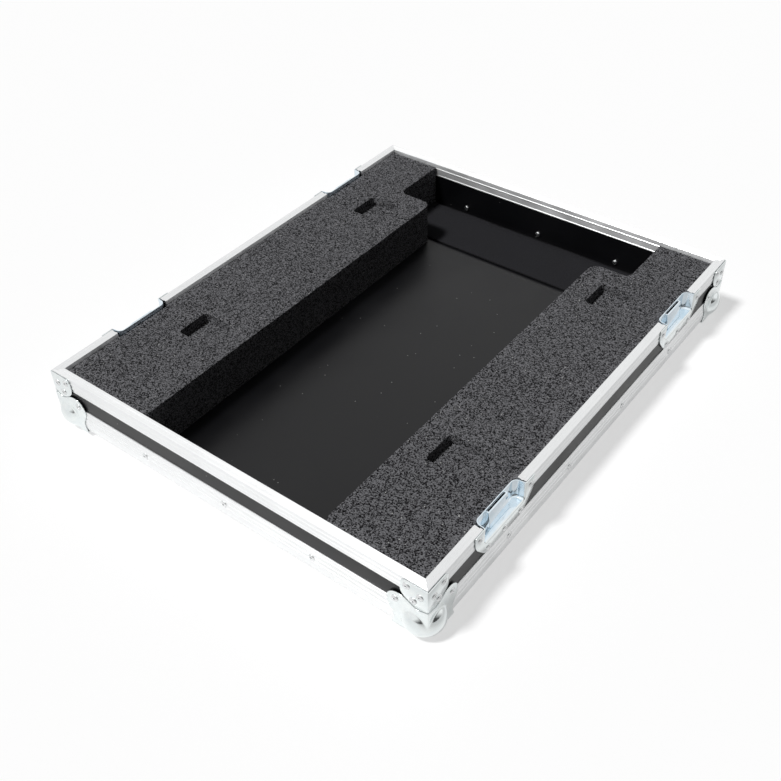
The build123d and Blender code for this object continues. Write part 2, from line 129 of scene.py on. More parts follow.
relief = add(
    tree,
    "ShaderNodeBump",
    {"Strength": 0.5, "Distance": 0.05 * MM},
    {"Height": pebble.outputs["Fac"]},
)
shader = add(
    tree,
    "ShaderNodeBsdfPrincipled",
    {"IOR": 1.5, "Specular IOR Level": 0.28},
    {"Base Color": dusty.outputs[2], "Roughness": gloss.outputs[0], "Normal": relief.outputs[0]},
)
add(tree, "ShaderNodeOutputMaterial", links={"Surface": shader.outputs[0]})

for name in ("floor_board", "wall_front", "wall_back", "wall_left", "wall_right"):
    board = dressed(name, film)


# Lower edging

# Four lengths of 35 mm aluminium angle round the bottom edges, mitred at the corners. It is
# extruded with a rounded edge and three fine lines, and left bright from the mill.

INSIDE = Vector((265, 327))
BOARD = 9
EDGING_WALL = 1.5
EDGING_LEG = 35
EDGING_LOW = 8.53
EDGING_RADIUS = 4.5
EDGING_ARRIS = 0.5
EDGING_INNER_ARRIS = 0.3
EDGING_LINES = (15.7, 22.6, 30.2)
LINE_HALF = 0.65
LINE_DEPTH = 0.75
MITRE_GAP = 0.08
PLATE = INSIDE + Vector((BOARD + EDGING_WALL, BOARD + EDGING_WALL))
SIDES = {
    "front": ("x", 0, INSIDE.x, INSIDE.y),
    "right": ("y", 90, INSIDE.y, INSIDE.x),
    "back": ("x", 180, INSIDE.x, INSIDE.y),
    "left": ("y", 270, INSIDE.y, INSIDE.x),
}
CORNERS = {
    "front_left": (-1, -1),
    "rear_left": (-1, 1),
    "front_right": (1, -1),
    "rear_right": (1, 1),
}
# The corners of the case are sawn off a little way inside each ball
BALL_RADIUS = 24
BALL_SHEET = 1.5
BALL_INSET = BALL_RADIUS / sqrt(2) - BALL_SHEET
SAWN_BACK = 2.2
# In metres: points nearer than the first are one, and those nearer a plane than the second lie on it
WELD = 1e-6
ON_PLANE = 1e-7


def points_of(grown):
    """The new points of an extrusion or a copy."""
    return [part for part in grown["geom"] if isinstance(part, bmesh.types.BMVert)]


def push(bm, faces, by, hollow=False):
    """Push faces out with walls behind them, and where they sink a hollow, leave its mouth open."""
    grown = bmesh.ops.extrude_face_region(bm, geom=faces)
    if hollow:
        bmesh.ops.delete(bm, geom=faces, context="FACES")
    bmesh.ops.translate(bm, verts=points_of(grown), vec=[part * MM for part in by])


def face_out(bm):
    """Turn the faces of a closed shape outward."""
    bmesh.ops.recalc_face_normals(bm, faces=bm.faces[:])


def turn_about(bm, degrees):
    """Turn a shape about the middle of the tray's plan."""
    bmesh.ops.rotate(bm, verts=bm.verts[:], cent=(0, 0, 0), matrix=Matrix.Rotation(radians(degrees), 3, "Z"))


def round_corners(bm, points, corners):
    """Round the corners of a flat face to the radii listed with their places."""
    for point, (place, radius) in zip(points, corners):
        if radius:
            bmesh.ops.bevel(
                bm,
                geom=[point],
                offset=radius * MM,
                offset_type="OFFSET",
                segments=6,
                profile=0.5,
                affect="VERTICES",
                material=-1,
            )


def drawn(bm, corners):
    """Draw a face through corners of (place, radius) and round them to their radii."""
    points = [bm.verts.new(Vector(place) * MM) for place, radius in corners]
    bm.faces.new(points)
    round_corners(bm, points, corners)
    return bm.faces[:]


def saw(bm, at, facing):
    """Take off what lies beyond a plane and close the cut."""
    parts = bm.verts[:] + bm.edges[:] + bm.faces[:]
    cut = bmesh.ops.bisect_plane(
        bm, geom=parts, dist=ON_PLANE, plane_co=Vector(at) * MM, plane_no=Vector(facing), clear_outer=True
    )
    edge = [part for part in cut["geom_cut"] if isinstance(part, bmesh.types.BMEdge)]
    if edge:
        bmesh.ops.holes_fill(bm, edges=edge, sides=0)


def mitred_strip(section, half_run, to_board):
    """Push a section along the front and saw its ends on the diagonals of the plan's corners."""
    bm = bmesh.new()
    start = -half_run - EDGING_LEG - BOARD
    face = drawn(bm, [((start, -to_board - out, height), radius) for out, height, radius in section])
    push(bm, face, (-2 * start, 0, 0))
    face_out(bm)
    for way in (-1, 1):
        saw(bm, (way * (half_run - MITRE_GAP), -to_board, 0), (way, 1, 0))
    return bm


def piece(name, bm, *finishes, sharp=35):
    """Make a finished piece of a mesh and fix it to the case."""
    mesh = bpy.data.meshes.new(name)
    bm.to_mesh(mesh)
    bm.free()
    for finish in finishes:
        mesh.materials.append(finish)
    for face in mesh.polygons:
        face.use_smooth = True
    mesh.set_sharp_from_angle(angle=radians(sharp))
    made = bpy.data.objects.new(name, mesh)
    bpy.context.scene.collection.objects.link(made)
    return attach(made, "root")


# Extruded aluminium, mill finish: bright and satiny, with faint lines that the die leaves along
# each length. The lines spread what the metal mirrors across themselves. Real ones are finer.
DIE_LINE = 0.7
HANDLING = 35
STRETCH = 0.006
along = {}
for run, stretch in (("x", (STRETCH, 1, 1)), ("y", (1, STRETCH, 1))):
    along[run], tree, place = new_finish(f"mill-finish aluminium extrusion, drawn along {run}")
    turned = add(tree, "ShaderNodeMapping", {"Scale": stretch}, {"Vector": place})
    lines = add(
        tree,
        "ShaderNodeTexNoise",
        {"Scale": 1 / (DIE_LINE * MM), "Detail": 2.0},
        {"Vector": turned.outputs[0]},
    )
    cloud = add(tree, "ShaderNodeTexNoise", {"Scale": 1 / (HANDLING * MM), "Detail": 6.0}, {"Vector": place})
    tone = add(
        tree,
        "ShaderNodeMix",
        {"data_type": "RGBA", 6: linear("E2E3E4"), 7: linear("F2F3F3")},
        {0: lines.outputs["Fac"]},
    )
    gloss = add(
        tree,
        "ShaderNodeMapRange",
        {"From Min": 0.3, "From Max": 0.7, "To Min": 0.34, "To Max": 0.42},
        {"Value": cloud.outputs["Fac"]},
    )
    relief = add(
        tree,
        "ShaderNodeBump",
        {"Strength": 0.6, "Distance": 0.04 * MM},
        {"Height": lines.outputs["Fac"]},
    )
    across_lines = add(tree, "ShaderNodeTangent", {"direction_type": "RADIAL", "axis": run.upper()})
    shader = add(
        tree,
        "ShaderNodeBsdfPrincipled",
        {"Metallic": 1.0, "Anisotropic": 0.8},
        {
            "Base Color": tone.outputs[2],
            "Roughness": gloss.outputs[0],
            "Normal": relief.outputs[0],
            "Tangent": across_lines.outputs[0],
        },
    )
    add(tree, "ShaderNodeOutputMaterial", links={"Surface": shader.outputs[0]})

out = BOARD + EDGING_WALL
edging = [
    (out - EDGING_LEG, EDGING_LOW, 0),
    (out, EDGING_LOW, EDGING_RADIUS),
]
for rise in EDGING_LINES:
    edging.append((out, EDGING_LOW + rise - LINE_HALF, 0))
    edging.append((out - LINE_DEPTH, EDGING_LOW + rise, 0))
    edging.append((out, EDGING_LOW + rise + LINE_HALF, 0))
edging += [
    (out, EDGING_LOW + EDGING_LEG, EDGING_ARRIS),
    (BOARD, EDGING_LOW + EDGING_LEG, EDGING_INNER_ARRIS),
    (BOARD, EDGING_LOW + EDGING_WALL, EDGING_RADIUS - EDGING_WALL),
    (out - EDGING_LEG, EDGING_LOW + EDGING_WALL, 0),
]
ball_centre = Vector((PLATE.x - BALL_INSET, PLATE.y - BALL_INSET, EDGING_LOW + BALL_INSET))
for side, (run, turn, half_run, to_board) in SIDES.items():
    bm = mitred_strip(edging, half_run, to_board)
    turn_about(bm, turn)
    for way_x, way_y in CORNERS.values():
        centre = Vector((way_x * ball_centre.x, way_y * ball_centre.y, ball_centre.z))
        outward = Vector((way_x, way_y, -1)).normalized()
        saw(bm, centre + outward * (BALL_RADIUS - SAWN_BACK), outward)
    length = piece(f"edging_{side}", bm, along[run])
    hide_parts(f"lower_angle_{side}")


# Closing rim

# The aluminium extrusion that closes the boards' top edges: a web, a leg down each face, a fine
# groove along the top, ribs outside and a bead and foot inside. Mitred, and cut short at each dish.

RIM_TOP = 86.03
RIM_LEG = 20
RIM_FOOT = RIM_TOP - RIM_LEG
RIM_WALL = 1
RIM_WEB = 3.5
RIM_EDGE = 0.9
RIM_LIP = (0.5, 4)
RIM_RIB_DROPS = (13.5, 7)
RIM_RIB = (1.8, 0.4)
RIM_BEAD_DROP = 8
RIM_BEAD = (1.8, 0.5)
RIM_INNER_FOOT = (2.5, 0.5)
RIB_CREST = 0.44
RIB_ROUND = 0.15
GROOVE_HALF = 2
GROOVE_FLOOR_HALF = 1.2
GROOVE_DEEP = 0.8
GROOVE_ROUND = 0.1
LATCH_AT = 202.5
NOTCH_HALF = 40.5


def rib(out, way, drop, width, height):
    """A low rounded line on the rim's section, from its foot round its crest and back."""
    middle = RIM_TOP - drop
    crest = width * RIB_CREST
    return [
        (out, middle - way * width / 2, 0),
        (out + way * height, middle - way * crest / 2, RIB_ROUND),
        (out + way * height, middle + way * crest / 2, RIB_ROUND),
        (out, middle + way * width / 2, 0),
    ]


inner = -RIM_WALL
outer = BOARD + RIM_WALL
middle = BOARD / 2
lip_taper, lip_rise = RIM_LIP
rim = [
    (BOARD, RIM_FOOT, 0),
    (outer - lip_taper, RIM_FOOT, RIB_ROUND),
    (outer, RIM_FOOT + lip_rise, 0),
]
for drop in RIM_RIB_DROPS:
    rim += rib(outer, 1, drop, *RIM_RIB)
rim += [
    (outer, RIM_TOP, RIM_EDGE),
    (middle + GROOVE_HALF, RIM_TOP, GROOVE_ROUND),
    (middle + GROOVE_FLOOR_HALF, RIM_TOP - GROOVE_DEEP, GROOVE_ROUND),
    (middle - GROOVE_FLOOR_HALF, RIM_TOP - GROOVE_DEEP, GROOVE_ROUND),
    (middle - GROOVE_HALF, RIM_TOP, GROOVE_ROUND),
    (inner, RIM_TOP, RIM_EDGE),
    *rib(inner, -1, RIM_BEAD_DROP, *RIM_BEAD),
    *rib(inner, -1, RIM_LEG - RIM_INNER_FOOT[0] / 2, *RIM_INNER_FOOT),
    (0, RIM_FOOT, 0),
    (0, RIM_TOP - RIM_WEB, 0),
    (BOARD, RIM_TOP - RIM_WEB, 0),
]
for side, (run, turn, half_run, to_board) in SIDES.items():
    if run == "x":
        lengths = {"": ()}
    else:
        low = -LATCH_AT - NOTCH_HALF
        lengths = {
            "_front": ((low, -1),),
            "_middle": ((low + 2 * NOTCH_HALF, 1), (-low - 2 * NOTCH_HALF, -1)),
            "_rear": ((-low, 1),),
        }
    for end, cuts in lengths.items():
        bm = mitred_strip(rim, half_run, to_board)
        turn_about(bm, turn)
        for at, keep in cuts:
            saw(bm, (0, at, 0), (0, -keep, 0))
        length = piece(f"closing_rim_{side}{end}", bm, along[run])
        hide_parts(f"rim_{side}{end}")


# Upright corner angles

# Short upright angles on the case's four outer corners, aluminium like the edging. The brace and
# the ball corner cover nearly all of each, and the frame's own solid already has its shape.

# The edging's metal with the die's lines upright, its colour a little greyer than the edging's: painted shade
# for the corner's shelter
UPRIGHT_STRETCH = 0.01
upright, tree, place = new_finish("mill-finish aluminium angle, drawn upright")
turned = add(tree, "ShaderNodeMapping", {"Scale": (1, 1, UPRIGHT_STRETCH)}, {"Vector": place})
lines = add(
    tree,
    "ShaderNodeTexNoise",
    {"Scale": 1 / (DIE_LINE * MM), "Detail": 2.0},
    {"Vector": turned.outputs[0]},
)
tone = add(
    tree,
    "ShaderNodeMix",
    {"data_type": "RGBA", 6: linear("DCDDDE"), 7: linear("F1F2F3")},
    {0: lines.outputs["Fac"]},
)
relief = add(
    tree,
    "ShaderNodeBump",
    {"Strength": 0.5, "Distance": 0.04 * MM},
    {"Height": lines.outputs["Fac"]},
)
shader = add(
    tree,
    "ShaderNodeBsdfPrincipled",
    {"Metallic": 1.0, "Roughness": 0.34},
    {"Base Color": tone.outputs[2], "Normal": relief.outputs[0]},
)
add(tree, "ShaderNodeOutputMaterial", links={"Surface": shader.outputs[0]})

for corner in CORNERS:
    angle = dressed(f"corner_angle_{corner}", upright)


# Upper corner braces

# One piece of 1.2 mm steel folded over each of the rim's mitres, pressed and then zinc plated.
# Its lower edge follows the ball corner's outline a little way off.

BALL_LOW = EDGING_LOW - BALL_SHEET
BRACE_SHEET = 1.2
BRACE_TOP_DROP = 1.8
BRACE_TOP = RIM_TOP - BRACE_TOP_DROP - BALL_LOW
BRACE_FOLD = 1.8
BRACE_ARRIS = 0.3
# Places along a leg from the fold and up from the ball corner's foot, each with its radius
BRACE_LEG = (
    ((0, 47), 0),
    ((13.2, 43.1), 4),
    ((28.8, 52), 2.5),
    ((34, 57.5), 4),
    ((34, BRACE_TOP), 6.5),
    ((0, BRACE_TOP), 0),
)


def to_corner(bm, way_x, way_y):
    """Mirror what was made at the right rear corner to another corner."""
    bmesh.ops.scale(bm, vec=(way_x, way_y, 1), verts=bm.verts[:])
    if way_x != way_y:
        bmesh.ops.reverse_faces(bm, faces=bm.faces[:])


def edges_where(bm, test):
    """The edges whose two ends both pass a test of their place in millimetres."""
    return [edge for edge in bm.edges if all(test(point.co / MM) for point in edge.verts)]


def soften(bm, edges, size, steps=2):
    """Round edges off by a size."""
    bmesh.ops.bevel(
        bm,
        geom=edges,
        offset=size * MM,
        offset_type="OFFSET",
        segments=steps,
        profile=0.5,
        affect="EDGES",
        material=-1,
    )


def sheet_edges(bm):
    """The sharp edges of a sheet that has its thickness."""
    return [edge for edge in bm.edges if edge.is_manifold and edge.calc_face_angle() > radians(60)]


# Zinc plating on pressed steel: bright and faintly mottled where it took unevenly. The corners
# have a clear passivation, the dishes and keepers a bluish one. The steel's grain is drawn at a
# millimetre, coarser than it is, so that it shows.
ZINC_MOTTLE = 9
ZINC_GRAIN = 1.0
zinc = {}
for passivation, (dull, bright) in (("clear", ("D8DFE1", "F1F4F2")), ("blue", ("CCDEEA", "F1F6F9"))):
    zinc[passivation], tree, place = new_finish(f"bright zinc plating, {passivation} passivated")
    mottle = add(
        tree,
        "ShaderNodeTexNoise",
        {"Scale": 1 / (ZINC_MOTTLE * MM), "Detail": 4.0},
        {"Vector": place},
    )
    grain = add(
        tree,
        "ShaderNodeTexNoise",
        {"Scale": 1 / (ZINC_GRAIN * MM), "Detail": 3.0},
        {"Vector": place},
    )
    tone = add(
        tree,
        "ShaderNodeMix",
        {"data_type": "RGBA", 6: linear(dull), 7: linear(bright)},
        {0: mottle.outputs["Fac"]},
    )
    gloss = add(
        tree,
        "ShaderNodeMapRange",
        {"From Min": 0.3, "From Max": 0.7, "To Min": 0.09, "To Max": 0.17},
        {"Value": mottle.outputs["Fac"]},
    )
    relief = add(
        tree,
        "ShaderNodeBump",
        {"Strength": 0.2, "Distance": 0.04 * MM},
        {"Height": grain.outputs["Fac"]},
    )
    shader = add(
        tree,
        "ShaderNodeBsdfPrincipled",
        {"Metallic": 1.0},
        {"Base Color": tone.outputs[2], "Roughness": gloss.outputs[0], "Normal": relief.outputs[0]},
    )
    add(tree, "ShaderNodeOutputMaterial", links={"Surface": shader.outputs[0]})

fold_x = PLATE.x + BRACE_SHEET
fold_y = PLATE.y + BRACE_SHEET
over_mitre = Matrix(
    (
        (0, 1, 0, (fold_x - fold_y) * MM),
        (1, 0, 0, (fold_y - fold_x) * MM),
        (0, 0, 1, 0),
        (0, 0, 0, 1),
    )
)
for corner, (way_x, way_y) in CORNERS.items():
    bm = bmesh.new()
    leg = [((fold_x, fold_y - reach, BALL_LOW + rise), radius) for (reach, rise), radius in BRACE_LEG]
    second = bmesh.ops.duplicate(bm, geom=drawn(bm, leg))
    bmesh.ops.transform(bm, matrix=over_mitre, verts=points_of(second))
    bmesh.ops.remove_doubles(bm, verts=bm.verts[:], dist=WELD)
    face_out(bm)
    if bm.faces[0].normal.x + bm.faces[0].normal.y < 0:
        bmesh.ops.reverse_faces(bm, faces=bm.faces[:])
    soften(bm, [edge for edge in bm.edges if len(edge.link_faces) == 2], BRACE_FOLD, 5)
    bmesh.ops.solidify(bm, geom=bm.faces[:], thickness=BRACE_SHEET * MM)
    soften(bm, sheet_edges(bm), BRACE_ARRIS)
    to_corner(bm, way_x, way_y)
    brace = piece(f"brace_{corner}", bm, zinc["clear"])
    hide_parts(f"corner_brace_{corner}")


# Ball corners

# A ball and three eared faces pressed in one from 1.5 mm steel, over the case's sawn-off corner,
# then zinc plated. The press leaves every edge and the ball's foot softly rounded.

# Places on a plate, across and up from the corner that the plates would meet in, each with its
# radius
BALL_FACE = (
    ((0, 0), 0),
    ((0, 45.8), 0),
    ((13.5, 41.8), 4),
    ((30, 50.8), 3),
    ((52, 52), 16),
    ((50.8, 30), 3),
    ((41.8, 13.5), 4),
    ((45.8, 0), 0),
)
# The plates end inside the ball, and the ball's foot is the stretch of the pressing between two
# distances from its middle
BALL_CREASE_END = 16.9
BALL_FOOT = (19, 29)
BALL_FOOT_ROUNDS = 9
BALL_ROUNDS = 3
BALL_FINENESS = 0.6
BALL_DIVISIONS = 5
CASE_REACH = 30
vertex = Vector((PLATE.x + BALL_SHEET, PLATE.y + BALL_SHEET, BALL_LOW))


def scratch_object(name, bm):
    """A mesh that only helps to shape another."""
    mesh = bpy.data.meshes.new(name)
    bm.to_mesh(mesh)
    bm.free()
    made = bpy.data.objects.new(name, mesh)
    bpy.context.scene.collection.objects.link(made)
    return made


def shaped(made):
    """The mesh of an object with its modifiers applied."""
    view = bpy.context.evaluated_depsgraph_get()
    view.update()
    return bpy.data.meshes.new_from_object(made.evaluated_get(view))


ball = bmesh.new()
bmesh.ops.create_icosphere(ball, subdivisions=BALL_DIVISIONS, radius=BALL_RADIUS * MM)
bmesh.ops.translate(ball, vec=ball_centre * MM, verts=ball.verts[:])
corner_of_case = bmesh.new()
bmesh.ops.create_cube(corner_of_case, size=1)
low = ball_centre - Vector((CASE_REACH, CASE_REACH, BALL_INSET))
high = Vector((PLATE.x, PLATE.y, ball_centre.z + CASE_REACH))
bmesh.ops.scale(corner_of_case, vec=(high - low) * MM, verts=corner_of_case.verts[:])
bmesh.ops.translate(corner_of_case, vec=(low + high) / 2 * MM, verts=corner_of_case.verts[:])
outward = Vector((1, 1, -1)).normalized()
saw(corner_of_case, ball_centre + outward * (BALL_RADIUS - SAWN_BACK), outward)
ball = scratch_object("ball_blank", ball)
corner_of_case = scratch_object("case_corner", corner_of_case)
trim = ball.modifiers.new("trim", "BOOLEAN")
trim.operation = "DIFFERENCE"
trim.solver = "EXACT"
trim.object = corner_of_case
pressed = bmesh.new()
pressed.from_mesh(shaped(ball))
bmesh.ops.remove_doubles(pressed, verts=pressed.verts[:], dist=WELD)
# Each plate's axes: the one it faces along, and those that it runs across and up
for axes in ((0, 1, 2), (1, 0, 2), (2, 1, 0)):
    plate = bmesh.new()
    corners = []
    for (across, up), radius in BALL_FACE:
        inward = {axes[0]: 0, axes[1]: across, axes[2]: up}
        corners.append(((vertex.x - inward[0], vertex.y - inward[1], vertex.z + inward[2]), radius))
    behind = [0, 0, 0]
    behind[axes[0]] = BALL_SHEET if axes[0] == 2 else -BALL_SHEET
    push(plate, drawn(plate, corners), behind)
    face_out(plate)
    saw(plate, ball_centre + outward * BALL_CREASE_END, outward)
    plate_mesh = bpy.data.meshes.new("plate")
    plate.to_mesh(plate_mesh)
    plate.free()
    pressed.from_mesh(plate_mesh)
pressed = scratch_object("pressed_corner", pressed)
fuse = pressed.modifiers.new("fuse", "REMESH")
fuse.mode = "VOXEL"
fuse.voxel_size = BALL_FINENESS * MM
corner_mesh = shaped(pressed)
foot_low, foot_high = BALL_FOOT
for corner, (way_x, way_y) in CORNERS.items():
    bm = bmesh.new()
    bm.from_mesh(corner_mesh)
    foot = [point for point in bm.verts if foot_low < (point.co / MM - ball_centre).length < foot_high]
    for points, rounds in ((foot, BALL_FOOT_ROUNDS), (bm.verts[:], BALL_ROUNDS)):
        for step in range(rounds):
            bmesh.ops.smooth_vert(
                bm, verts=points, factor=0.5, use_axis_x=True, use_axis_y=True, use_axis_z=True
            )
    to_corner(bm, way_x, way_y)
    ball_corner = piece(f"ball_{corner}", bm, zinc["clear"], sharp=80)
    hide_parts(f"ball_corner_{corner}")
for spare in (ball, corner_of_case, pressed):
    bpy.data.objects.remove(spare)


# Latch dishes

# The tray's half of each recessed latch dish: a flange riveted over the rim and the board, and a
# pan drawn through the wall, open at the top. Pressed from 1.2 mm steel and zinc plated.

DISH_SHEET = 1.2
DISH_HALF = 55.75
DISH_SIDE_DROP = 17
DISH_DROP = 40.5
DISH_FOOT_HALF = 36
DISH_ROUND = 7
DISH_LIP = 1.6
MOUTH_HALF = 38.2
PAN_BACK_HALF = 36.4
PAN_CORNER = 5.5
PAN_DEEP = 13.5
PAN_FLOOR = 24
PAN_ROUND = 4
DISH_TOP_ROUND = 0.8
DISH_ARRIS = 0.25
# What lies within this of a face or an edge belongs to it
NEAR = 0.01

# Places on the flange, along it and up from the rim's top, each with its radius
DISH_OUTLINE = (
    ((-DISH_HALF, 0), DISH_TOP_ROUND),
    ((-DISH_HALF, -DISH_SIDE_DROP), DISH_ROUND),
    ((-DISH_FOOT_HALF, -DISH_DROP), DISH_ROUND),
    ((DISH_FOOT_HALF, -DISH_DROP), DISH_ROUND),
    ((DISH_HALF, -DISH_SIDE_DROP), DISH_ROUND),
    ((DISH_HALF, 0), DISH_TOP_ROUND),
)


def slice_at(bm, at, facing):
    """Divide the faces on a plane."""
    parts = bm.verts[:] + bm.edges[:] + bm.faces[:]
    bmesh.ops.bisect_plane(bm, geom=parts, dist=ON_PLANE, plane_co=Vector(at) * MM, plane_no=facing)


def faces_where(bm, test):
    """The faces whose middle passes a test of its place in millimetres."""
    return [face for face in bm.faces if test(face.calc_center_median() / MM)]


front_x = PLATE.x + DISH_SHEET
pan_back = front_x - PAN_DEEP
PAN_PLAN = (
    ((front_x, -MOUTH_HALF, RIM_TOP), 0),
    ((pan_back, -PAN_BACK_HALF, RIM_TOP), PAN_CORNER),
    ((pan_back, PAN_BACK_HALF, RIM_TOP), PAN_CORNER),
    ((front_x, MOUTH_HALF, RIM_TOP), 0),
)
for corner, (way_x, way_y) in CORNERS.items():
    bm = bmesh.new()
    push(bm, drawn(bm, PAN_PLAN), (0, 0, -PAN_FLOOR))
    open_faces = faces_where(bm, lambda at: at.z > RIM_TOP - NEAR or at.x > front_x - NEAR)
    bmesh.ops.delete(bm, geom=open_faces, context="FACES")
    floor_edges = edges_where(bm, lambda at: at.z < RIM_TOP - PAN_FLOOR + NEAR)
    soften(bm, [edge for edge in floor_edges if len(edge.link_faces) == 2], PAN_ROUND, 5)
    mouth = [point for point in bm.verts if point.co.x > (front_x - NEAR) * MM]
    mouth_ends = sorted(
        (point for point in mouth if point.co.z > (RIM_TOP - NEAR) * MM), key=lambda point: point.co.y
    )
    outline = []
    for (reach, rise), radius in DISH_OUTLINE:
        outline.append(bm.verts.new(Vector((front_x, reach, RIM_TOP + rise)) * MM))
    path = [mouth_ends[0], *outline, mouth_ends[1]]
    for pair in zip(path, path[1:]):
        bm.edges.new(pair)
    bmesh.ops.contextual_create(bm, geom=edges_where(bm, lambda at: at.x > front_x - NEAR))
    round_corners(bm, outline, DISH_OUTLINE)
    face_out(bm)
    flange = max(bm.faces, key=lambda face: face.calc_center_median().x)
    if flange.normal.x < 0:
        bmesh.ops.reverse_faces(bm, faces=bm.faces[:])
    lips = edges_where(bm, lambda at: at.x > front_x - NEAR)
    soften(bm, [edge for edge in lips if len(edge.link_faces) == 2], DISH_LIP, 4)
    bmesh.ops.solidify(bm, geom=bm.faces[:], thickness=DISH_SHEET * MM)
    soften(bm, sheet_edges(bm), DISH_ARRIS)
    bmesh.ops.translate(bm, verts=bm.verts[:], vec=(0, LATCH_AT * MM, 0))
    to_corner(bm, way_x, way_y)
    # The flange keeps the clear plating of its neighbours
    for face in faces_where(bm, lambda at: abs(at.x) > front_x - DISH_SHEET - 10 * NEAR):
        face.material_index = 1
    dish = piece(f"dish_{corner}", bm, zinc["blue"], zinc["clear"])
    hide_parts(f"latch_dish_{corner}")


# Latch keepers

# The fixed keeper that the lid's hook takes hold of: 1.6 mm steel folded to a shallow box against
# the pan's back, leaning away from the hand, with a slot open at its top and one hole for tooling.

KEEPER_HALF = 17.8
KEEPER_SHEET = 1.6
KEEPER_DROP = 2
KEEPER_SEAT = 0.05
KEEPER_DEEP = 6.8
KEEPER_KNEE = (5.4, 12)
KEEPER_TOP_DEEP = 3.9
KEEPER_ARRIS = 0.4
KEEPER_KNEE_ROUND = 1.2
KEEPER_CHEEK_ROUND = 0.7
KEEPER_CHEEK = 1.6
KEEPER_BACK = 0.25
KEEPER_SLOT_DEEP = 17
KEEPER_FOOT_GAP = 0.5
# Where the hole lies along the dish and in height, and its corners' radius
KEEPER_HOLE = ((12.9, 16.6), (77.6, 80.2), 1.1)
KEEPER_HOLE_DEEP = 1.9


def running(edges, way):
    """Those of some edges that run along a way."""
    ways = {edge: (edge.verts[1].co - edge.verts[0].co).normalized() for edge in edges}
    return [edge for edge in edges if abs(ways[edge].dot(Vector(way))) > 0.999]


pan_floor = RIM_TOP - PAN_FLOOR
keeper_foot = pan_floor + KEEPER_FOOT_GAP
keeper_top = RIM_TOP - KEEPER_DROP
keeper_top_x = pan_back + KEEPER_TOP_DEEP
knee_deep, knee_rise = KEEPER_KNEE
KEEPER_PROFILE = (
    ((pan_back + KEEPER_SEAT, keeper_foot), 0),
    ((pan_back + KEEPER_DEEP, keeper_foot), KEEPER_ARRIS),
    ((pan_back + knee_deep, pan_floor + knee_rise), KEEPER_KNEE_ROUND),
    ((keeper_top_x, keeper_top), KEEPER_ARRIS),
    ((pan_back + KEEPER_SEAT, keeper_top), 0),
)
slot_back = pan_back + KEEPER_BACK
slot_front = keeper_top_x - KEEPER_SHEET
slot_half = KEEPER_HALF - KEEPER_CHEEK
(hole_low, hole_high), (hole_foot, hole_top), hole_round = KEEPER_HOLE
for corner, (way_x, way_y) in CORNERS.items():
    bm = bmesh.new()
    drawn(bm, [((at_x, -KEEPER_HALF, at_z), radius) for (at_x, at_z), radius in KEEPER_PROFILE])
    push(bm, bm.faces[:], (0, 2 * KEEPER_HALF, 0))
    face_out(bm)
    for x in (slot_front, slot_back):
        slice_at(bm, (x, 0, 0), (1, 0, 0))
    for y in (-slot_half, slot_half):
        slice_at(bm, (0, y, 0), (0, 1, 0))
    slot = faces_where(
        bm,
        lambda at: slot_back < at.x < slot_front and abs(at.y) < slot_half and at.z > keeper_top - NEAR,
    )
    push(bm, slot, (0, 0, -KEEPER_SLOT_DEEP), hollow=True)
    for y in (hole_low, hole_high):
        slice_at(bm, (0, y, 0), (0, 1, 0))
    for z in (hole_foot, hole_top):
        slice_at(bm, (0, 0, z), (0, 0, 1))
    hole = faces_where(
        bm,
        lambda at: at.x > keeper_top_x and hole_low < at.y < hole_high and hole_foot < at.z < hole_top,
    )
    push(bm, hole, (-KEEPER_HOLE_DEEP, 0, 0), hollow=True)
    bmesh.ops.remove_doubles(bm, verts=bm.verts[:], dist=WELD)
    bmesh.ops.dissolve_limit(bm, angle_limit=radians(1), verts=bm.verts[:], edges=bm.edges[:])
    face_out(bm)
    cheeks = edges_where(bm, lambda at: abs(at.y) > KEEPER_HALF - NEAR and at.x > keeper_top_x - 10 * NEAR)
    across = running(cheeks, (0, 1, 0))
    soften(bm, [edge for edge in cheeks if edge not in across], KEEPER_CHEEK_ROUND, 3)
    # The hole's corners are round, and so is the slot's lower one beside it
    corners = running(sheet_edges(bm), (1, 0, 0))
    below_top = edges_where(bm, lambda at: keeper_foot + NEAR < at.z < keeper_top - NEAR)
    by_hole = edges_where(bm, lambda at: hole_low - NEAR < at.y < hole_high + NEAR)
    inside = set(below_top) & set(by_hole)
    soften(bm, [edge for edge in corners if edge in inside], hole_round, 4)
    turn_about(bm, 0 if way_x > 0 else 180)
    bmesh.ops.translate(bm, verts=bm.verts[:], vec=(0, way_y * LATCH_AT * MM, 0))
    keeper = piece(f"keeper_{corner}", bm, zinc["blue"])
    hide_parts(f"latch_keeper_{corner}")


# Blind rivets

# Domed aluminium blind rivets hold every fitting. The head is a low dome with a rim, and its
# steel mandrel breaks off inside the hole in the middle. Inside the case their tails show.

# Places out from a rivet's axis and up from its sheet. Both ends start a little inside the sheet.
HEAD_PROFILE = (
    (0, -0.2),
    (4.2, -0.2),
    (4.4, 0),
    (4.4, 0.3),
    (4.0, 0.75),
    (3.0, 1.2),
    (1.9, 1.45),
    (1.45, 1.35),
    (1.3, 0.85),
    (1.1, 0.8),
    (0.6, 1.0),
    (0, 1.05),
)
TAIL_PROFILE = ((0, -0.2), (3.5, -0.2), (3.8, 0.5), (3.5, 1.6), (2.5, 2.4), (1.2, 2.7), (0, 2.75))
MANDREL_HALF = 1.2
HEAD_FACETS = 20

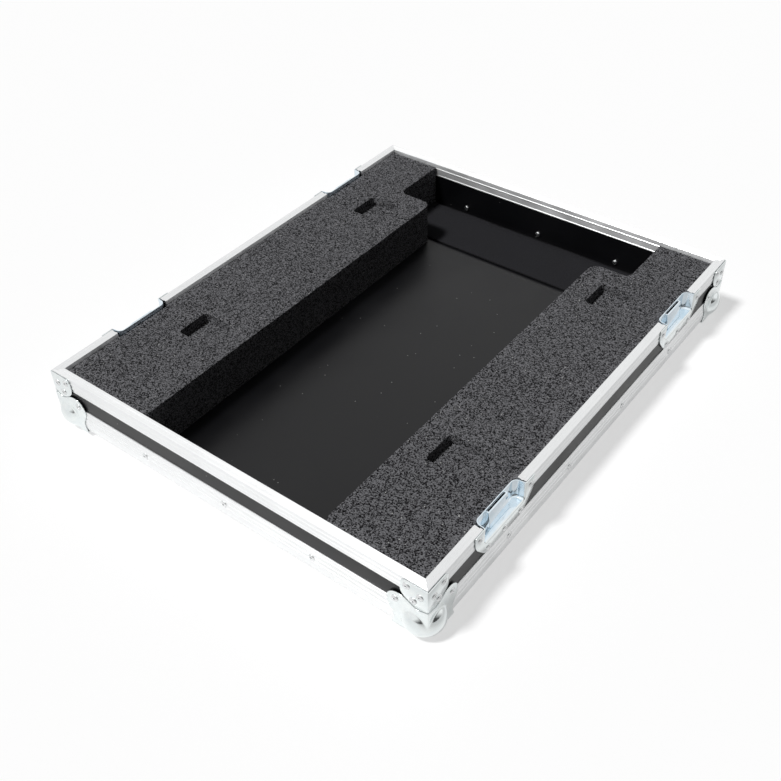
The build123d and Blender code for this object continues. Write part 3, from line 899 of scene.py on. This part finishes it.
# Aluminium that the rivet tool has upset and burnished: bright, dented in patches of a millimetre
RIVET_DENT = 1.2
alloy, tree, place = new_finish("aluminium rivet, upset and burnished")
grain = add(tree, "ShaderNodeTexNoise", {"Scale": 1 / (RIVET_DENT * MM), "Detail": 3.0}, {"Vector": place})
tone = add(
    tree,
    "ShaderNodeMix",
    {"data_type": "RGBA", 6: linear("C9CBCC"), 7: linear("F0F1F1")},
    {0: grain.outputs["Fac"]},
)
relief = add(
    tree,
    "ShaderNodeBump",
    {"Strength": 0.4, "Distance": 0.05 * MM},
    {"Height": grain.outputs["Fac"]},
)
shader = add(
    tree,
    "ShaderNodeBsdfPrincipled",
    {"Metallic": 1.0, "Roughness": 0.26},
    {"Base Color": tone.outputs[2], "Normal": relief.outputs[0]},
)
add(tree, "ShaderNodeOutputMaterial", links={"Surface": shader.outputs[0]})

# The torn end of a steel mandrel: dull grey and uneven
MANDREL_TEAR = 0.8
pin, tree, place = new_finish("snapped steel mandrel")
grain = add(tree, "ShaderNodeTexNoise", {"Scale": 1 / (MANDREL_TEAR * MM), "Detail": 3.0}, {"Vector": place})
tone = add(
    tree,
    "ShaderNodeMix",
    {"data_type": "RGBA", 6: linear("6E6F72"), 7: linear("B5B6B8")},
    {0: grain.outputs["Fac"]},
)
shader = add(
    tree,
    "ShaderNodeBsdfPrincipled",
    {"Metallic": 1.0, "Roughness": 0.45},
    {"Base Color": tone.outputs[2]},
)
add(tree, "ShaderNodeOutputMaterial", links={"Surface": shader.outputs[0]})


def turned_head(profile):
    """Turn a rivet's profile round its axis, with the mandrel's end in the second finish."""
    bm = bmesh.new()
    points = [bm.verts.new((out * MM, 0, up * MM)) for out, up in profile]
    edges = [bm.edges.new(pair) for pair in zip(points, points[1:])]
    bmesh.ops.spin(
        bm,
        geom=points + edges,
        cent=(0, 0, 0),
        axis=(0, 0, 1),
        dvec=(0, 0, 0),
        angle=2 * pi,
        steps=HEAD_FACETS,
        use_merge=True,
        use_duplicate=False,
    )
    bmesh.ops.remove_doubles(bm, verts=bm.verts[:], dist=WELD)
    face_out(bm)
    for face in faces_where(bm, lambda at: at.xy.length < MANDREL_HALF and at.z > 0):
        face.material_index = 1
    mesh = bpy.data.meshes.new("turned")
    bm.to_mesh(mesh)
    bm.free()
    return mesh


head = turned_head(HEAD_PROFILE)
tail = turned_head(TAIL_PROFILE)


def set_rivets(places, shape):
    """Set one rivet at each place, with its axis along the way that the sheet faces."""
    bm = bmesh.new()
    for seat, outward in places:
        count = len(bm.verts)
        bm.from_mesh(shape)
        bm.verts.ensure_lookup_table()
        turn = Vector(outward).to_track_quat("Z", "Y").to_matrix().to_4x4()
        bmesh.ops.transform(bm, matrix=Matrix.Translation(Vector(seat) * MM) @ turn, verts=bm.verts[count:])
    return bm


RIVET_PITCH = 126.5
RIVET_IN = 20
RIVET_RISE = EDGING_LOW + RIVET_IN
row = {
    "x": [RIVET_PITCH * step for step in (-1, 0, 1)],
    "y": [RIVET_PITCH * step for step in (-1.5, -0.5, 0.5, 1.5)],
}
under = []
for side, (run, turn, half_run, to_board) in SIDES.items():
    way = 1 if side in ("back", "right") else -1
    if run == "x":
        heads = [((x, way * PLATE.y, RIVET_RISE), (0, way, 0)) for x in row["x"]]
        under += [((x, way * (PLATE.y - RIVET_IN), EDGING_LOW), (0, 0, -1)) for x in row["x"]]
    else:
        heads = [((way * PLATE.x, y, RIVET_RISE), (way, 0, 0)) for y in row["y"]]
        under += [((way * (PLATE.x - RIVET_IN), y, EDGING_LOW), (0, 0, -1)) for y in row["y"]]
    rivets = piece(f"rivets_{side}", set_rivets(heads, head), alloy, pin)
    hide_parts(f"edge_rivets_{side}")
rivets = piece("rivets_floor", set_rivets(under, head), alloy, pin)
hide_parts("floor_rivets")

# Places from the brace's fold and down from the rim's top, in from the ball corner's corner, and
# along the dish and down from the rim's top
BRACE_RIVETS = ((26, 9), (10, 15), (18, 26))
EAR_RIVET = 40.5
DISH_RIVETS = ((-48, 9), (48, 9), (-31, 34), (0, 34), (31, 34))
for corner, (way_x, way_y) in CORNERS.items():
    heads = []
    for back_off, drop in BRACE_RIVETS:
        heads.append(((fold_x, fold_y - back_off, RIM_TOP - drop), (1, 0, 0)))
        heads.append(((fold_x - back_off, fold_y, RIM_TOP - drop), (0, 1, 0)))
    ear = Vector((vertex.x - EAR_RIVET, vertex.y - EAR_RIVET, vertex.z + EAR_RIVET))
    heads.append(((vertex.x, ear.y, ear.z), (1, 0, 0)))
    heads.append(((ear.x, vertex.y, ear.z), (0, 1, 0)))
    heads.append(((ear.x, ear.y, vertex.z), (0, 0, -1)))
    bm = set_rivets(heads, head)
    to_corner(bm, way_x, way_y)
    rivets = piece(f"rivets_corner_{corner}", bm, alloy, pin)
    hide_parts(f"corner_rivets_{corner}")
    heads = [((front_x, LATCH_AT + offset, RIM_TOP - drop), (1, 0, 0)) for offset, drop in DISH_RIVETS]
    bm = set_rivets(heads, head)
    to_corner(bm, way_x, way_y)
    rivets = piece(f"rivets_latch_{corner}", bm, alloy, pin)
    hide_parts(f"latch_rivets_{corner}")

# The side walls' tails are behind the foam, so only the front's and the back's are made. Their
# mandrels are hidden, so all of a tail is in the alloy.
tails = []
for way in (-1, 1):
    tails += [((x, way * INSIDE.y, RIVET_RISE), (0, -way, 0)) for x in row["x"]]
rivets = piece("rivet_tails", set_rivets(tails, tail), alloy, alloy)


# Foam blocks

# Two blocks of black closed-cell polyethylene foam, cut from plank with a hot wire: the cut
# leaves open half cells, slightly wavy faces and soft arrises. Each has two square foot pockets.

FOAM_X = 263.2
FOAM_Y = 325.2
FOAM_LOW = 19.33
FOAM_DROP = 5.5
FOAM_TOP = RIM_TOP - FOAM_DROP
# Each block's side, its edge on the well and in its notch, and the middle of its pockets
FOAM_BLOCKS = (("left", -1, 128.5, 183.5, 185.5), ("right", 1, 135, 188, 191.5))
NOTCH_STEP = 235.5
NOTCH_ROUND = 10
NOSE_ROUND = 14
END_ROUND = 12
POCKET_HALF = 24
POCKET_DEEP = 14
POCKET_ROUND = 5
POCKETS_Y = (-168, 179)
RELIEF_HALF = 39.5
RELIEF_X = 261.7
RELIEF_DROP = 30.5
RELIEF_LOW = RIM_TOP - RELIEF_DROP
FOAM_ARRIS = 0.9
# The faces are divided at every step of the cut and moved in waves of this length and height
FOAM_CUT = 16
FOAM_WAVE_LENGTH = 45
FOAM_WAVE = 0.35
WAVE_SEED = 4

# Cut foam: matt, with black open cells among their grey skins, and pale dust. The cells are drawn
# at 1.2 mm, about twice the real ones, so that they show.
FOAM_CELL = 1.2
FOAM_SKIN = 1.0
DUST_EVERY = 9
foam_finish, tree, place = new_finish("closed-cell polyethylene foam, hot-wire cut")
cells = add(
    tree,
    "ShaderNodeTexVoronoi",
    {"feature": "SMOOTH_F1", "Smoothness": 0.45, "Scale": 1 / (FOAM_CELL * MM)},
    {"Vector": place},
)
cut_open = add(tree, "ShaderNodeSeparateColor", links={"Color": cells.outputs["Color"]})
fleck = add(
    tree,
    "ShaderNodeTexNoise",
    {"Scale": 1 / (FOAM_SKIN * MM), "Detail": 3.0, "Roughness": 0.7},
    {"Vector": place},
)
speckle = add(
    tree,
    "ShaderNodeMath",
    {"operation": "MULTIPLY_ADD", 1: 0.75},
    {0: cut_open.outputs[0], 2: fleck.outputs["Fac"]},
)
flecked = add(
    tree,
    "ShaderNodeMapRange",
    {"From Min": 0.66, "From Max": 1.07, "To Min": 0.0, "To Max": 1.0},
    {"Value": speckle.outputs[0]},
)
tone = add(
    tree,
    "ShaderNodeMix",
    {"data_type": "RGBA", 6: linear("101011"), 7: linear("717174")},
    {0: flecked.outputs[0]},
)
specks = add(tree, "ShaderNodeTexVoronoi", {"Scale": 1 / (DUST_EVERY * MM)}, {"Vector": place})
small = add(
    tree,
    "ShaderNodeMapRange",
    {"From Min": 0.05, "From Max": 0.09, "To Min": 0.75, "To Max": 0.0},
    {"Value": specks.outputs["Distance"]},
)
dusty = add(
    tree,
    "ShaderNodeMix",
    {"data_type": "RGBA", 7: linear("C9C9C6")},
    {0: small.outputs[0], 6: tone.outputs[2]},
)
relief = add(
    tree,
    "ShaderNodeBump",
    {"Strength": 0.8, "Distance": 0.5 * MM},
    {"Height": cells.outputs["Distance"]},
)
shader = add(
    tree,
    "ShaderNodeBsdfPrincipled",
    {"Roughness": 0.95, "IOR": 1.5, "Specular IOR Level": 0.05},
    {"Base Color": dusty.outputs[2], "Normal": relief.outputs[0]},
)
add(tree, "ShaderNodeOutputMaterial", links={"Surface": shader.outputs[0]})

noise.seed_set(WAVE_SEED)
for side, way, edge_x, notch_x, pocket_x in FOAM_BLOCKS:
    bm = bmesh.new()
    plan = (
        ((FOAM_X, -FOAM_Y, FOAM_LOW), 0),
        ((FOAM_X, FOAM_Y, FOAM_LOW), 0),
        ((notch_x, FOAM_Y, FOAM_LOW), 0),
        ((notch_x, NOTCH_STEP, FOAM_LOW), NOTCH_ROUND),
        ((edge_x, NOTCH_STEP, FOAM_LOW), NOSE_ROUND),
        ((edge_x, -FOAM_Y, FOAM_LOW), END_ROUND),
    )
    push(bm, drawn(bm, plan), (0, 0, FOAM_TOP - FOAM_LOW))
    face_out(bm)
    for x in (pocket_x - POCKET_HALF, pocket_x + POCKET_HALF, RELIEF_X):
        slice_at(bm, (x, 0, 0), (1, 0, 0))
    for middles, half in ((POCKETS_Y, POCKET_HALF), ((-LATCH_AT, LATCH_AT), RELIEF_HALF)):
        for y in middles:
            slice_at(bm, (0, y - half, 0), (0, 1, 0))
            slice_at(bm, (0, y + half, 0), (0, 1, 0))
    slice_at(bm, (0, 0, RELIEF_LOW), (0, 0, 1))
    for y in POCKETS_Y:
        in_pocket = faces_where(
            bm,
            lambda at: max(abs(at.x - pocket_x), abs(at.y - y)) < POCKET_HALF and at.z > FOAM_TOP - NEAR,
        )
        push(bm, in_pocket, (0, 0, -POCKET_DEEP), hollow=True)
    for y in (-LATCH_AT, LATCH_AT):
        behind_dish = faces_where(
            bm,
            lambda at: at.x > FOAM_X - NEAR and abs(at.y - y) < RELIEF_HALF and at.z > RELIEF_LOW,
        )
        push(bm, behind_dish, (RELIEF_X - FOAM_X, 0, 0), hollow=True)
        lid = faces_where(
            bm,
            lambda at: at.x > RELIEF_X + NEAR and abs(at.y - y) < RELIEF_HALF and at.z > FOAM_TOP - NEAR,
        )
        bmesh.ops.delete(bm, geom=lid, context="FACES")
    bmesh.ops.remove_doubles(bm, verts=bm.verts[:], dist=WELD)
    face_out(bm)
    bmesh.ops.dissolve_limit(bm, angle_limit=radians(1), verts=bm.verts[:], edges=bm.edges[:])
    pocket_sides = edges_where(bm, lambda at: abs(abs(at.x - pocket_x) - POCKET_HALF) < NEAR)
    soften(bm, running(pocket_sides, (0, 0, 1)), POCKET_ROUND, 6)
    soften(bm, sheet_edges(bm), FOAM_ARRIS)
    steps = int(2 * FOAM_Y / FOAM_CUT)
    for step in range(1, steps):
        slice_at(bm, (0, -FOAM_Y + step * 2 * FOAM_Y / steps, 0), (0, 1, 0))
    for step in range(1, 1 + int((FOAM_X - edge_x) / FOAM_CUT)):
        slice_at(bm, (edge_x + step * FOAM_CUT, 0, 0), (1, 0, 0))
    for step in range(1, 1 + int((FOAM_TOP - FOAM_LOW) / FOAM_CUT)):
        slice_at(bm, (0, 0, FOAM_LOW + step * FOAM_CUT), (0, 0, 1))
    # The faces on the boards and the floor stay flat
    for point in bm.verts:
        at = point.co / MM
        if FOAM_LOW + 0.5 < at.z and at.x < RELIEF_X - 1 and abs(at.y) < FOAM_Y - 1:
            wave = noise.noise_vector(Vector((at.x * way, at.y, at.z)) / FOAM_WAVE_LENGTH)
            point.co += wave * FOAM_WAVE * MM
    bmesh.ops.scale(bm, vec=(way, 1, 1), verts=bm.verts[:])
    if way < 0:
        bmesh.ops.reverse_faces(bm, faces=bm.faces[:])
    foam = piece(f"foam_{side}", bm, foam_finish)
    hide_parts(f"foam_block_{side}")


# Rear bay mat

# A loose strip of 3.5 mm black needle felt on the floor of the rear bay, cut by hand, so that
# its rear edge wanders and stops a little short of the back wall.

MAT_LOW = (-183.2, 235.8)
MAT_HIGH = (187.7, 320)
MAT_THICK = 3.5
MAT_ROUND = 9.7
MAT_ARRIS = 0.8
# The rear edge wanders by this much over this length, and the top sags a little between the steps
MAT_WANDER = 1.0
MAT_WANDER_LENGTH = 24
MAT_EDGE = 4
MAT_SAG = 0.35
MAT_LEVEL = 0.6
MAT_STEPS = 48
MAT_ROWS = 5
MAT_ROW = 14

# Needle felt: matt black with a grey bloom of loose fibres, drawn in tufts so that it shows
FELT_TUFT = 1.5
felt, tree, place = new_finish("black needle felt")
fibre = add(
    tree,
    "ShaderNodeTexNoise",
    {"Scale": 1 / (FELT_TUFT * MM), "Detail": 4.0, "Roughness": 0.7},
    {"Vector": place},
)
tone = add(
    tree,
    "ShaderNodeMix",
    {"data_type": "RGBA", 6: linear("0C0C0D"), 7: linear("343437")},
    {0: fibre.outputs["Fac"]},
)
relief = add(
    tree,
    "ShaderNodeBump",
    {"Strength": 0.8, "Distance": 0.5 * MM},
    {"Height": fibre.outputs["Fac"]},
)
shader = add(
    tree,
    "ShaderNodeBsdfPrincipled",
    {"Roughness": 0.95, "Specular IOR Level": 0.05},
    {"Base Color": tone.outputs[2], "Normal": relief.outputs[0]},
)
add(tree, "ShaderNodeOutputMaterial", links={"Surface": shader.outputs[0]})

(mat_left, mat_front), (mat_right, mat_rear) = MAT_LOW, MAT_HIGH
bm = bmesh.new()
plan = (
    ((mat_left, mat_front, FOAM_LOW), MAT_ROUND),
    ((mat_right, mat_front, FOAM_LOW), MAT_ROUND),
    ((mat_right, mat_rear, FOAM_LOW), 0),
    ((mat_left, mat_rear, FOAM_LOW), 0),
)
push(bm, drawn(bm, plan), (0, 0, MAT_THICK))
face_out(bm)
soften(bm, sheet_edges(bm), MAT_ARRIS)
for step in range(1, MAT_STEPS):
    slice_at(bm, (mat_left + step * (mat_right - mat_left) / MAT_STEPS, 0, 0), (1, 0, 0))
for step in range(1, 1 + MAT_ROWS):
    slice_at(bm, (0, mat_front + step * MAT_ROW, 0), (0, 1, 0))
for point in bm.verts:
    at = point.co / MM
    wander = noise.noise_vector(Vector((at.x, at.y, 0)) / MAT_WANDER_LENGTH)
    if at.y > mat_rear - MAT_EDGE:
        point.co.y += wander.y * MAT_WANDER * MM
    if at.z > FOAM_LOW + 1:
        point.co.z += (wander.z - MAT_LEVEL) * MAT_SAG * MM
mat = piece("rear_bay_mat", bm, felt)
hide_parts("bay_mat")


# Studio

# A white sweep under the case, one soft light high behind the camera's left, and a white room
# that the metal mirrors. The camera stands in front of the tray's front right corner.

# Matt white paper. The camera and the metal see it near white wherever light reaches it, and the
# case's shadow stays on it.
PAPER_GLOW = 1.02
GLOW_SEEN = 0.56
GLOW_MIRRORED = 0.4
paper, tree, place = new_finish("white sweep paper")
ray = add(tree, "ShaderNodeLightPath")
seen = add(
    tree,
    "ShaderNodeMath",
    {"operation": "MAXIMUM"},
    {0: ray.outputs["Is Camera Ray"], 1: ray.outputs["Is Glossy Ray"]},
)
tint = add(
    tree,
    "ShaderNodeMix",
    {"data_type": "RGBA", 6: linear("E3E3E3"), 7: linear("FDFDFD")},
    {0: seen.outputs[0]},
)
matt = add(tree, "ShaderNodeBsdfDiffuse", links={"Color": tint.outputs[2]})
glow = add(tree, "ShaderNodeEmission", {"Color": linear("FFFFFF"), "Strength": PAPER_GLOW})
mirrored = add(
    tree,
    "ShaderNodeMath",
    {"operation": "MULTIPLY", 1: GLOW_MIRRORED},
    {0: ray.outputs["Is Glossy Ray"]},
)
share = add(
    tree,
    "ShaderNodeMath",
    {"operation": "MULTIPLY_ADD", 1: GLOW_SEEN},
    {0: ray.outputs["Is Camera Ray"], 2: mirrored.outputs[0]},
)
lit = add(tree, "ShaderNodeMixShader", links={0: share.outputs[0], 1: matt.outputs[0], 2: glow.outputs[0]})
# Painted shade for mirror rays only: the paper darkens towards the case's right, standing for a darker studio
# there, and the polished metal there mirrors it
across = add(tree, "ShaderNodeSeparateXYZ", links={"Vector": place})
to_right = add(
    tree,
    "ShaderNodeMapRange",
    {"From Min": 0.28, "From Max": 0.36, "To Min": 0.0, "To Max": 0.32},
    {"Value": across.outputs["X"]},
)
shade = add(
    tree,
    "ShaderNodeMath",
    {"operation": "MULTIPLY"},
    {0: to_right.outputs[0], 1: ray.outputs["Is Glossy Ray"]},
)
unlit = add(tree, "ShaderNodeBsdfDiffuse", {"Color": linear("000000")})
surface = add(
    tree,
    "ShaderNodeMixShader",
    links={0: shade.outputs[0], 1: lit.outputs[0], 2: unlit.outputs[0]},
)
add(tree, "ShaderNodeOutputMaterial", links={"Surface": surface.outputs[0]})
SWEEP_LOW = Vector((-6, -1.1, 0))
SWEEP_HIGH = Vector((0.8, 6, 0))
bm = bmesh.new()
bmesh.ops.create_grid(bm, x_segments=1, y_segments=1, size=0.5)
bmesh.ops.scale(bm, vec=SWEEP_HIGH - SWEEP_LOW, verts=bm.verts[:])
bmesh.ops.translate(bm, vec=(SWEEP_LOW + SWEEP_HIGH) / 2, verts=bm.verts[:])
ground_mesh = bpy.data.meshes.new("ground")
bm.to_mesh(ground_mesh)
bm.free()
ground_mesh.materials.append(paper)
ground = bpy.data.objects.new("ground", ground_mesh)
bpy.context.scene.collection.objects.link(ground)

# The room is white to the eye and to the metal, while little of its light falls on the case
ROOM_LIGHT = 0.075
# Past the sweep's near edge, this way from the case, the room is dark, as only the metal sees
NEAR_SIDE = (0.9, -0.6, -0.9)
NEAR_SIDE_DARK = 0.93
world = bpy.data.worlds.new("white room")
bpy.context.scene.world = world
world.use_nodes = True
tree = world.node_tree
tree.nodes.clear()
ray = add(tree, "ShaderNodeLightPath")
mirror_ray = add(
    tree,
    "ShaderNodeMath",
    {"operation": "MAXIMUM"},
    {0: ray.outputs["Is Glossy Ray"], 1: ray.outputs["Is Transmission Ray"]},
)
seen = add(
    tree,
    "ShaderNodeMath",
    {"operation": "MAXIMUM"},
    {0: ray.outputs["Is Camera Ray"], 1: mirror_ray.outputs[0]},
)
level = add(
    tree,
    "ShaderNodeMapRange",
    {"From Min": 0.0, "From Max": 1.0, "To Min": ROOM_LIGHT, "To Max": 1.0},
    {"Value": seen.outputs[0]},
)
facing = add(tree, "ShaderNodeTexCoord").outputs["Generated"]
near_side = add(tree, "ShaderNodeVectorMath", {"operation": "DOT_PRODUCT", 1: NEAR_SIDE}, {0: facing})
dark = add(
    tree,
    "ShaderNodeMapRange",
    {"From Min": 0.3, "From Max": 0.75, "To Min": 0.0, "To Max": NEAR_SIDE_DARK},
    {"Value": near_side.outputs["Value"]},
)
dimmed = add(
    tree,
    "ShaderNodeMath",
    {"operation": "MULTIPLY"},
    {0: dark.outputs[0], 1: ray.outputs["Is Glossy Ray"]},
)
left_over = add(tree, "ShaderNodeMath", {"operation": "SUBTRACT", 0: 1.0}, {1: dimmed.outputs[0]})
level = add(tree, "ShaderNodeMath", {"operation": "MULTIPLY"}, {0: level.outputs[0], 1: left_over.outputs[0]})
room = add(tree, "ShaderNodeBackground", {"Color": linear("FFFFFF")}, {"Strength": level.outputs[0]})
add(tree, "ShaderNodeOutputWorld", links={"Surface": room.outputs[0]})

# The light falls along the case's shadow: to the right and to the rear of what throws it
LIGHT_WAY = (0.25, 0.52, -1)
key = bpy.data.lights.new("key", "SUN")
key.energy = 3.15
key.angle = radians(9)
key_light = bpy.data.objects.new("key", key)
key_light.rotation_euler = Vector(LIGHT_WAY).to_track_quat("-Z", "Y").to_euler()
bpy.context.scene.collection.objects.link(key_light)

# The camera's place and turn, solved from the straight edges in the photograph, whose middle lies
# a little beside the lens's axis
CAMERA_PLACE = (0.62076, -0.82643, 0.86609)
CAMERA_RIGHT = (0.792663, 0.609118, -0.025719)
CAMERA_UP = (-0.387819, 0.536332, 0.749630)
FRAME_PIXELS = 781
ASIDE_PIXELS = 9.5
lens = bpy.data.cameras.new("camera")
lens.lens = 47.415
lens.sensor_width = 36
lens.shift_x = ASIDE_PIXELS / FRAME_PIXELS
lens.clip_start = 0.01
lens.clip_end = 100
camera = bpy.data.objects.new("camera", lens)
right = Vector(CAMERA_RIGHT)
up = Vector(CAMERA_UP)
turn = Matrix((right, up, right.cross(up))).transposed().to_4x4()
camera.matrix_world = Matrix.Translation(CAMERA_PLACE) @ turn
bpy.context.scene.collection.objects.link(camera)
bpy.context.scene.camera = camera
bpy.context.scene.view_settings.view_transform = "Standard"
